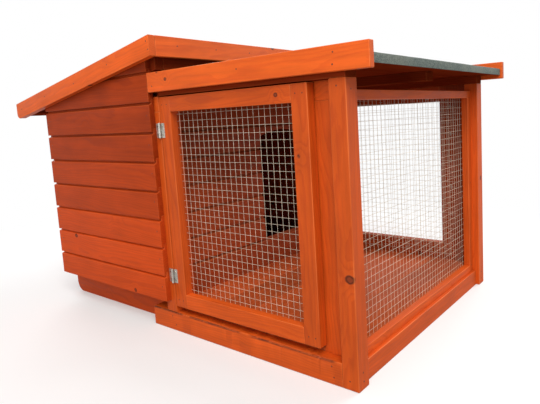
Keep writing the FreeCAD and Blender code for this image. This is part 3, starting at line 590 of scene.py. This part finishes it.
def wire_between(bm, start, end, side, chooser, bend):
    """One round wire with the slight waves that a roll of mesh keeps."""
    steps = max(2, round((end - start).length / PITCH))
    along = (end - start).normalized()
    up = along.cross(side)
    phase, swing = chooser.uniform(0, 6.3), chooser.uniform(0.3, 1.0) * bend
    rings = []
    for k in range(steps + 1):
        place = start.lerp(end, k / steps)
        place += up * math.sin(phase + k * 0.55) * swing
        place += side * math.sin(phase * 2 + k * 0.31) * swing * 0.5
        rings.append([
            bm.verts.new(place + (side * math.cos(a) + up * math.sin(a)) * WIRE)
            for a in [math.tau * n / 6 for n in range(6)]
        ])
    for first, second in zip(rings, rings[1:]):
        for n in range(6):
            bm.faces.new((first[n], first[(n + 1) % 6], second[(n + 1) % 6], second[n]))
    bm.faces.new(rings[0][::-1])
    bm.faces.new(rings[-1])


def staple(bm, middle, across, out):
    """A wire staple driven over one wire of the mesh: across is its crown, out points off the timber."""
    half, leg, thick = 4.5 * MM, 2.2 * MM, 0.55 * MM
    side = across.cross(out)
    for start, end in (
        (middle - across * half + out * thick, middle + across * half + out * thick),
        (middle - across * half + out * thick, middle - across * half - out * leg),
        (middle + across * half + out * thick, middle + across * half - out * leg),
    ):
        lead = (end - start).normalized()
        flat = side if abs(lead.dot(side)) < 0.5 else out
        other = lead.cross(flat)
        ring = []
        for place in (start, end):
            ring.append([
                bm.verts.new(place + (flat * math.cos(a) + other * math.sin(a)) * thick)
                for a in [math.tau * n / 6 for n in range(6)]
            ])
        for n in range(6):
            bm.faces.new((ring[0][n], ring[0][(n + 1) % 6], ring[1][(n + 1) % 6], ring[1][n]))
        bm.faces.new(ring[0][::-1])
        bm.faces.new(ring[1])


def welded_mesh(node, through, out, lap, chooser):
    """Round wires on the same lines as the panel; through is the axis square to it, out the staples' side."""
    low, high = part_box(node)
    across, up = (0 if through == 1 else 1), 2
    timber_face = low[through] if out > 0 else high[through]
    bm = bmesh.new()
    normal = Vector([1.0 if i == through else 0.0 for i in range(3)])
    counts = [int((high[i] - low[i]) / PITCH + 1e-6) for i in (across, up)]
    starts = [(low[i] + high[i] - n * PITCH) / 2 for i, n in zip((across, up), counts)]
    for i in range(counts[0] + 1):
        start, end = Vector(low), Vector(high)
        start[across] = end[across] = starts[0] + i * PITCH
        start[through] = end[through] = timber_face + out * WIRE
        wire_between(bm, start, end, normal, chooser, 0.12 * MM)
    for j in range(counts[1] + 1):
        start, end = Vector(low), Vector(high)
        start[up] = end[up] = starts[1] + j * PITCH
        start[through] = end[through] = timber_face + out * WIRE * 2.8
        wire_between(bm, start, end, normal, chooser, 0.12 * MM)
    piece = show("round_wire_" + node, bm, MESH_WIRE_ZINC, BODY_OF[node], "galvanised_mesh")
    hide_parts(node)
    bm = bmesh.new()
    outer = timber_face + out * WIRE * 3.8
    for i in range(2, counts[0], 5):
        for z in (low[up] + lap / 2, high[up] - lap / 2):
            place = Vector((0, 0, z))
            place[across] = starts[0] + i * PITCH
            place[through] = outer
            along = Vector([1.0 if k == across else 0.0 for k in range(3)])
            staple(bm, place, along, normal * out)
    for j in range(3, counts[1], 5):
        for edge in (low[across] + lap / 2, high[across] - lap / 2):
            place = Vector((0, 0, starts[1] + j * PITCH))
            place[across] = edge
            place[through] = outer
            staple(bm, place, Vector((0, 0, 1)), normal * out)
    return show("staples_" + node, bm, SCREW_ZINC, BODY_OF[node], "galvanised_mesh")


welded_mesh("door_mesh", 1, 1, 8 * MM, random.Random(11))
welded_mesh("end_mesh", 0, -1, 7 * MM, random.Random(12))
welded_mesh("back_mesh", 1, -1, 22 * MM, random.Random(13))


# ---------------------------------------------------------------- roofing felt
def felt_sheet(name, node, path, low_y, high_y, thick, body, seed):
    """A felt sheet laid along path, (x, z) points of its upper side, with small swells in it."""
    bm = bmesh.new()
    stations = []
    for (x0, z0), (x1, z1) in zip(path, path[1:]):
        steps = max(1, round(math.hypot(x1 - x0, z1 - z0) / 0.012))
        for k in range(steps):
            stations.append((x0 + (x1 - x0) * k / steps, z0 + (z1 - z0) * k / steps))
    stations.append(path[-1])
    rows = round((high_y - low_y) / 0.012)
    tops, bottoms = [], []
    for n, (x, z) in enumerate(stations):
        before, after = stations[max(n - 1, 0)], stations[min(n + 1, len(stations) - 1)]
        run = Vector((after[0] - before[0], 0, after[1] - before[1])).normalized()
        out = Vector((-run.z, 0, run.x))
        if out.z < -0.01:
            out = -out
        upper, lower = [], []
        for k in range(rows + 1):
            y = low_y + (high_y - low_y) * k / rows
            swell = noise.noise(Vector((x * 11, y * 9, seed))) * 0.5 + noise.noise(Vector((x * 34, y * 30, seed)))
            place = Vector((x, y, z))
            upper.append(bm.verts.new(place + out * swell * 0.22 * MM))
            lower.append(bm.verts.new(place - out * thick))
        tops.append(upper)
        bottoms.append(lower)
    for grid, flip in ((tops, False), (bottoms, True)):
        for a, b in zip(grid, grid[1:]):
            for k in range(rows):
                corners = (a[k], a[k + 1], b[k + 1], b[k])
                bm.faces.new(corners if flip else corners[::-1])
    for k in (0, rows):
        for n in range(len(stations) - 1):
            bm.faces.new((tops[n][k], tops[n + 1][k], bottoms[n + 1][k], bottoms[n][k]))
    for n in (0, len(stations) - 1):
        for k in range(rows):
            bm.faces.new((tops[n][k], tops[n][k + 1], bottoms[n][k + 1], bottoms[n][k]))
    bmesh.ops.recalc_face_normals(bm, faces=bm.faces)
    piece = show(name, bm, FELT, body, "roofing_felt")
    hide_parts(node)
    return piece


def head(bm, place, out, radius, rise, sides=12):
    """A low domed nail or tack head standing on a face."""
    out = out.normalized()
    side = out.orthogonal().normalized()
    other = out.cross(side)
    rings = []
    for share, lift in ((1.0, -0.1 * MM), (1.0, rise * 0.45), (0.72, rise * 0.85)):
        rings.append([
            bm.verts.new(place + out * lift + (side * math.cos(a) + other * math.sin(a)) * radius * share)
            for a in [math.tau * n / sides for n in range(sides)]
        ])
    bm.faces.new(rings[0][::-1])
    crown = bm.verts.new(place + out * rise)
    for first, second in zip(rings, rings[1:]):
        for n in range(sides):
            bm.faces.new((first[n], first[(n + 1) % sides], second[(n + 1) % sides], second[n]))
    for n in range(sides):
        bm.faces.new((rings[-1][n], rings[-1][(n + 1) % sides], crown))


FELT_THICK = 2.5 * MM
low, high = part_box("run_roof_felt")
felt_sheet(
    "run_felt_sheet", "run_roof_felt",
    [(low.x, high.z), (high.x - 3 * MM, high.z), (high.x - 0.9 * MM, high.z - 0.9 * MM),
     (high.x, high.z - 3 * MM), (high.x, low.z)],
    low.y, high.y, FELT_THICK, "hutch", 2.0,
)
run_felt_top, run_felt_edge, run_felt_y = high.z, high.x, (low.y, high.y)

low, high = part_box("lid_felt")
slope = Vector((math.cos(LID_PITCH), 0, math.sin(LID_PITCH)))
square = Vector((-math.sin(LID_PITCH), 0, math.cos(LID_PITCH)))
upper = Vector((high.x, 0, high.z))
length = (high.x - low.x - FELT_THICK * math.sin(LID_PITCH) * 6) / math.cos(LID_PITCH)
corner_x = low.x + 2.6 * MM
lower = upper - slope * ((upper.x - corner_x) / math.cos(LID_PITCH))
felt_sheet(
    "lid_felt_sheet", "lid_felt",
    [(upper.x, upper.z), (lower.x, lower.z), (low.x + 0.8 * MM, lower.z - 1.6 * MM),
     (low.x + 0.1 * MM, lower.z - 4 * MM), (low.x + 0.1 * MM, low.z)],
    low.y, high.y, FELT_THICK * 0.95, "lid", 7.0,
)
lid_felt_y = (low.y, high.y)


# ---------------------------------------------------------------- clout nails in the felt
def clout_nails():
    chooser = random.Random(31)
    bm = bmesh.new()
    x = 0.06
    while x < run_felt_edge - 0.02:
        for y in (run_felt_y[0] + 14 * MM, run_felt_y[1] - 14 * MM):
            place = Vector((x + chooser.uniform(-4, 4) * MM, y + chooser.uniform(-2, 2) * MM, run_felt_top))
            head(bm, place, Vector((0, 0, 1)), 3.6 * MM, 0.9 * MM)
        x += 0.082
    show("run_clout_nails", bm, CLOUT_STEEL, "hutch", "zinc_hardware")
    bm = bmesh.new()
    length = (upper - lower).length
    run = 0.03
    while run < length - 0.02:
        for y in (lid_felt_y[0] + 14 * MM, lid_felt_y[1] - 14 * MM):
            place = lower + slope * (run + chooser.uniform(-4, 4) * MM)
            place.y = y + chooser.uniform(-2, 2) * MM
            head(bm, place, square, 3.6 * MM, 0.9 * MM)
        run += 0.084
    y = lid_felt_y[0] + 0.06
    while y < lid_felt_y[1] - 0.04:
        place = upper - slope * 12 * MM
        place.y = y
        head(bm, place, square, 3.6 * MM, 0.9 * MM)
        y += 0.09
    show("lid_clout_nails", bm, CLOUT_STEEL, "lid", "zinc_hardware")


clout_nails()


# ---------------------------------------------------------------- nail heads in the timber
def nail_rows():
    chooser = random.Random(52)
    bm = bmesh.new()
    front, back, end = Vector((0, -1, 0)), Vector((0, 1, 0)), Vector((1, 0, 0))

    def nail(x, y, z, out):
        shift = Vector((chooser.uniform(-1, 1), chooser.uniform(-1, 1), chooser.uniform(-1.5, 1.5))) * MM
        shift -= out * shift.dot(out)
        head(bm, Vector((x, y, z)) + shift, out, 1.35 * MM, 0.22 * MM, 10)

    for node, out in (("front_cladding", front), ("back_cladding", back)):
        low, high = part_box(node)
        y = low.y if out.y < 0 else high.y
        for k in range(7):
            for x in (low.x + 16 * MM, high.x - 10 * MM):
                nail(x, y, low.z + (30 + 58 * k) * MM, out)
    low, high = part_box("end_cladding")
    for k in range(7):
        for y in (low.y + 16 * MM, high.y - 16 * MM):
            nail(low.x, y, low.z + (30 + 58 * k) * MM, -end)
    for node, out in (("run_front_fascia", front), ("run_back_fascia", back)):
        low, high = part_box(node)
        y = low.y if out.y < 0 else high.y
        for x, rise in ((low.x + 14 * MM, 0.3), (0.266, 0.56), (high.x - 62 * MM, 0.3), (high.x - 60 * MM, 0.72)):
            nail(x, y, low.z + (high.z - low.z) * rise, out)
    low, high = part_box("front_base_rail")
    for x, z in ((high.x - 16 * MM, 12 * MM), (high.x - 20 * MM, 29 * MM), (0.03, 14 * MM), (0.02, 30 * MM)):
        nail(x, low.y, z, front)
    low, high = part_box("front_corner_post")
    for z in (12 * MM, 27 * MM, high.z - 18 * MM):
        nail(high.x, low.y + 14 * MM, z, end)
    for z in (15 * MM, high.z - 12 * MM):
        nail(low.x + 14 * MM, low.y, z, front)
    low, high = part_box("back_corner_post")
    for z in (12 * MM, 27 * MM, high.z - 18 * MM):
        nail(high.x, low.y + 14 * MM, z, end)
    low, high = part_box("end_stiles")
    for z in (low.z + 14 * MM, (low.z + high.z) / 2, high.z - 14 * MM):
        for y in (low.y + 10 * MM, high.y - 10 * MM):
            nail(high.x, y, z, end)
    low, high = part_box("run_floor")
    for k in range(5):
        for y in (low.y + 14 * MM, high.y - 14 * MM):
            for share in (0.2, 0.8):
                nail(low.x + (high.x - low.x) * (k + share) / 5, y, high.z, Vector((0, 0, 1)))
    show("frame_nail_heads", bm, NAIL_STEEL, "hutch", "zinc_hardware")

    bm = bmesh.new()
    for node, side in (("lid_front_barge_board", -1), ("lid_back_barge_board", 1)):
        low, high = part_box(node)
        y = low.y + NAIL_ROOM if side < 0 else high.y - NAIL_ROOM
        top = Vector((high.x, 0, high.z))
        for run, drop in ((8, 26), (10, 10), (150, 16), (290, 20), (430, 16), (560, 18)):
            place = top - slope * run * MM - square * drop * MM
            place.y = y
            head(bm, place, Vector((0, side, 0)), 1.35 * MM, 0.22 * MM, 10)
    low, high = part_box("lid_high_fascia")
    for k in range(6):
        y = low.y + (high.y - low.y) * (k + 0.5) / 6
        head(bm, Vector((high.x, y, high.z - 17 * MM)), Vector((1, 0, 0)), 1.35 * MM, 0.3 * MM, 10)
    show("lid_nail_heads", bm, NAIL_STEEL, "lid", "zinc_hardware")

    bm = bmesh.new()
    low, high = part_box("door_hinge_stile")
    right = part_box("door_latch_stile")[1]
    for x in (low.x + 9 * MM, low.x + 23 * MM, right.x - 9 * MM, right.x - 23 * MM):
        for z in (low.z + 15 * MM, high.z - 15 * MM):
            head(bm, Vector((x, low.y, z)), front, 1.2 * MM, 0.2 * MM, 10)
    show("door_nail_heads", bm, NAIL_STEEL, "door", "zinc_hardware")


nail_rows()


# ---------------------------------------------------------------- hinges, screws and catch
def cross_slot_shades(node, body):
    """The cross slot in each visible door screw's head, made as a thin dark cross on its face: the slot's shade is
    painted, not cut.
    """
    bm = bmesh.new()
    copy = bmesh.new()
    copy.from_mesh(frame["nodes"][node].data)
    bmesh.ops.remove_doubles(copy, verts=copy.verts, dist=0.004 * MM)
    chooser = random.Random(71)
    for screw in islands(copy):
        face_y = min(v.co.y for v in screw)
        if face_y > -0.287:
            continue
        middle = sum((v.co for v in screw), Vector()) / len(screw)
        turn = chooser.uniform(0, math.pi / 2)
        for angle in (turn, turn + math.pi / 2):
            lead = Vector((math.cos(angle), 0, math.sin(angle)))
            side = Vector((-lead.z, 0, lead.x))
            rows = []
            for y in (face_y - 0.06 * MM, face_y + 0.2 * MM):
                rows.append([
                    bm.verts.new(Vector((middle.x, y, middle.z)) + lead * a * 1.45 * MM + side * b * 0.32 * MM)
                    for a, b in ((-1, -1), (1, -1), (1, 1), (-1, 1))
                ])
            bm.faces.new(rows[0])
            bm.faces.new(rows[1][::-1])
            for n in range(4):
                bm.faces.new((rows[0][n], rows[0][(n + 1) % 4], rows[1][(n + 1) % 4], rows[1][n]))
    copy.free()
    bmesh.ops.recalc_face_normals(bm, faces=bm.faces)
    show("painted_slot_shade_" + node, bm, SLOT_SHADE_PAINT, body, "zinc_hardware")


cross_slot_shades("fixed_leaf_screws", "hutch")
cross_slot_shades("door_leaf_screws", "door")
HARDWARE = {
    "door_fixed_leaves": HINGE_ZINC, "door_moving_leaves": HINGE_ZINC, "lid_fixed_leaves": HINGE_ZINC,
    "lid_moving_leaves": HINGE_ZINC, "hinge_pins": SCREW_ZINC, "door_strike": HINGE_ZINC,
    "fixed_leaf_screws": SCREW_ZINC, "door_leaf_screws": SCREW_ZINC, "lid_leaf_screws": SCREW_ZINC,
    "door_catch": CATCH_BROWN,
}
for node, surface in HARDWARE.items():
    slots = frame["nodes"][node].material_slots
    for slot in slots:
        slot.material = surface


# ---------------------------------------------------------------- floor, light and camera
def pale_floor():
    made = bpy.data.materials.new("pale_studio_floor")
    made.use_nodes = True
    b = Bench(made.node_tree)
    nodes = made.node_tree.nodes
    shader = nodes["Principled BSDF"]
    shader.inputs["Roughness"].default_value = 0.7
    shader.inputs["Specular IOR Level"].default_value = 0.15
    white = b.node("ShaderNodeEmission")
    white.inputs["Color"].default_value = (1, 1, 1, 1)
    ray = b.node("ShaderNodeLightPath").outputs
    seen = b.maths("MAXIMUM", ray["Is Camera Ray"], b.maths("MAXIMUM", ray["Is Glossy Ray"],
                                                         ray["Is Transmission Ray"]))
    b.feed(shader.inputs["Base Color"], b.blend(ray["Is Camera Ray"], (0.36, 0.36, 0.36, 1), (0.88, 0.88, 0.88, 1)))
    where = b.node("ShaderNodeTexCoord").outputs["Object"]
    away = b.vector("LENGTH", b.vector("MULTIPLY", where, (0.8, 1.0, 0)))
    fade = b.ramp(away, 0.5, 1.2, 0.25, 1.0)
    mix = b.node("ShaderNodeMixShader")
    b.feed(mix.inputs[0], b.maths("MULTIPLY", fade, seen))
    made.node_tree.links.new(shader.outputs[0], mix.inputs[1])
    made.node_tree.links.new(white.outputs[0], mix.inputs[2])
    made.node_tree.links.new(mix.outputs[0], nodes["Material Output"].inputs["Surface"])
    bm = bmesh.new()
    bmesh.ops.create_grid(bm, x_segments=4, y_segments=4, size=14)
    mesh = bpy.data.meshes.new("studio_floor")
    bm.to_mesh(mesh)
    bm.free()
    floor = bpy.data.objects.new("studio_floor", mesh)
    floor.location = (0, 0, -0.4 * MM)
    mesh.materials.append(made)
    bpy.context.scene.collection.objects.link(floor)


def world_light():
    world = bpy.data.worlds.new("studio_world")
    bpy.context.scene.world = world
    world.use_nodes = True
    b = Bench(world.node_tree)
    ground = world.node_tree.nodes["Background"]
    ground.inputs["Color"].default_value = (0.97, 0.98, 1.0, 1)
    ground.inputs["Strength"].default_value = 0.42
    white = b.node("ShaderNodeBackground")
    white.inputs["Color"].default_value = (1, 1, 1, 1)
    ray = b.node("ShaderNodeLightPath").outputs
    seen = b.maths("MAXIMUM", ray["Is Camera Ray"], b.maths("MAXIMUM", ray["Is Glossy Ray"],
                                                         ray["Is Transmission Ray"]))
    mix = b.node("ShaderNodeMixShader")
    b.feed(mix.inputs[0], seen)
    world.node_tree.links.new(ground.outputs[0], mix.inputs[1])
    world.node_tree.links.new(white.outputs[0], mix.inputs[2])
    world.node_tree.links.new(mix.outputs[0], world.node_tree.nodes["World Output"].inputs["Surface"])


def soft_box(name, place, aim, width, height, power, tint=(1, 1, 1)):
    data = bpy.data.lights.new(name, "AREA")
    data.shape = "RECTANGLE"
    data.size, data.size_y = width, height
    data.energy = power
    data.color = tint
    lamp = bpy.data.objects.new(name, data)
    lamp.location = place
    lamp.rotation_euler = (Vector(aim) - Vector(place)).to_track_quat("-Z", "Y").to_euler()
    bpy.context.scene.collection.objects.link(lamp)


def camera():
    """Stands at the hutch's open front corner, a little above half its height, slightly rolled."""
    yaw, pitch, roll = (math.radians(a) for a in (37.08, -6.85, -3.05))
    ahead = Vector((-math.sin(yaw) * math.cos(pitch), math.cos(yaw) * math.cos(pitch), math.sin(pitch)))
    right = ahead.cross(Vector((0, 0, 1))).normalized()
    up = right.cross(ahead)
    across = right * math.cos(roll) + up * math.sin(roll)
    upward = up * math.cos(roll) - right * math.sin(roll)
    data = bpy.data.cameras.new("camera")
    data.sensor_width = 36.0
    data.lens = 33.0
    data.shift_x, data.shift_y = -0.0852, -0.0524
    data.clip_start = 0.02
    made = bpy.data.objects.new("camera", data)
    turn = Matrix((across, upward, -ahead)).transposed().to_4x4()
    made.matrix_world = Matrix.Translation(Vector((0.8584, -0.8817, 0.4257))) @ turn
    bpy.context.scene.collection.objects.link(made)
    bpy.context.scene.camera = made


pale_floor()
world_light()
soft_box("key_soft_box", (1.9, -1.8, 2.6), (0, 0, 0.25), 1.9, 1.9, 98, (1.0, 0.97, 0.93))
soft_box("low_front_soft_box", (0.5, -3.0, 0.8), (0, 0, 0.25), 1.6, 0.9, 14, (1.0, 0.98, 0.95))
soft_box("back_soft_box", (0.9, 2.6, 1.9), (0, 0, 0.3), 2.0, 1.4, 60)
soft_box("left_soft_box", (-2.6, 0.9, 1.6), (0, 0, 0.3), 1.6, 1.4, 34)
camera()
bpy.context.scene.view_settings.view_transform = "Standard"
